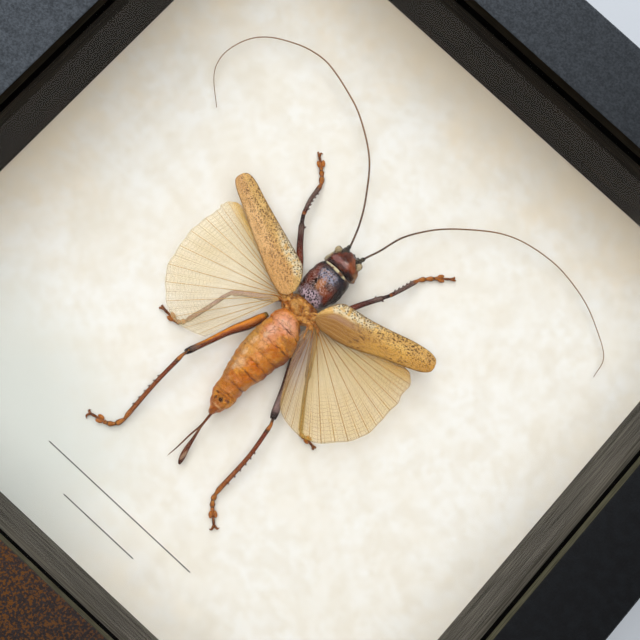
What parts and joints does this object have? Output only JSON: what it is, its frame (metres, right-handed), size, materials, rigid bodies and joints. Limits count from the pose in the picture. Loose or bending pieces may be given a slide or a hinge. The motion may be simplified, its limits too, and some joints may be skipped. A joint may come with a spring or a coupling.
{
  "type": "framed insect specimen",
  "caption": "Spread katydid with open wings, long antennae and a blade-like ovipositor, mounted on cream paper behind glass in a deep square black shadow-box frame",
  "frame": {"origin": "middle of the case's back face, on the plane that rests on a wall or a table", "axes": "+Z out of the glass towards the viewer, +Y to the top of the case, where the insect's head points, +X to the viewer's right"},
  "size_m": [0.251, 0.251, 0.0484],
  "materials": {
    "black_face": "matte black, finely pebbled paint",
    "dark_wood": "dark stain, fine lengthwise grain",
    "panel": "plain brown fibreboard",
    "paper": "matte cream, lightly mottled",
    "glass": "clear and polished",
    "dark_shell": "glossy red-brown insect shell",
    "orange_shell": "satin orange insect shell",
    "leg_shell": "dark brown insect shell",
    "tan_wing": "leathery tan wing with dark specks",
    "straw_wing": "thin straw-coloured wing with brown veins",
    "antenna": "dark olive-brown"
  },
  "bodies": {
    "root": {"rail_top": "black_face", "rail_left": "black_face", "rail_bottom": "black_face", "rail_right": "black_face", "liner_top": "dark_wood", "liner_left": "dark_wood", "liner_bottom": "dark_wood", "liner_right": "dark_wood", "back_panel": "panel", "backing_paper": "paper", "glass": "glass", "head": "dark_shell", "pronotum": "dark_shell", "thorax": "orange_shell", "abdomen": "orange_shell", "ovipositor_blade": "leg_shell", "ovipositor_stylet": "leg_shell", "forewing_left": "tan_wing", "forewing_right": "tan_wing", "hindwing_left": "straw_wing", "hindwing_right": "straw_wing", "foreleg_left": "leg_shell", "foreleg_right": "leg_shell", "midleg_left": "leg_shell", "midleg_right": "leg_shell", "hindleg_left": "leg_shell", "hindleg_right": "leg_shell", "antenna_left": "antenna", "antenna_right": "antenna"}
  },
  "joints": []
}
